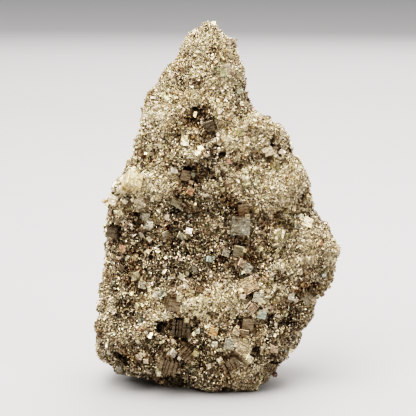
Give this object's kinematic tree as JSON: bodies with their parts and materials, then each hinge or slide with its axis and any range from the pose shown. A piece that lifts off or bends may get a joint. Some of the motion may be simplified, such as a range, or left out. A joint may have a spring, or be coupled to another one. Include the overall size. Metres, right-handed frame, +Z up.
{
  "type": "pyrite specimen",
  "caption": "Free-standing cluster of intergrown pyrite crystals, a rough peaked mass with ledges, hollows and larger cubes, standing on a flat underside.",
  "frame": {"origin": "middle of the bounding box's bottom, on the surface the specimen stands on", "axes": "+Z up towards the peak, -Y towards the side with the big hollow and the best crystals, +X to the right seen from that side"},
  "size_m": [0.1264, 0.0837, 0.1845],
  "materials": {
    "pyrite": "fine-grained metallic pyrite, pale brass with brown tarnish in the hollows"
  },
  "bodies": {
    "root": {"pyrite_cluster": "pyrite"}
  },
  "joints": []
}
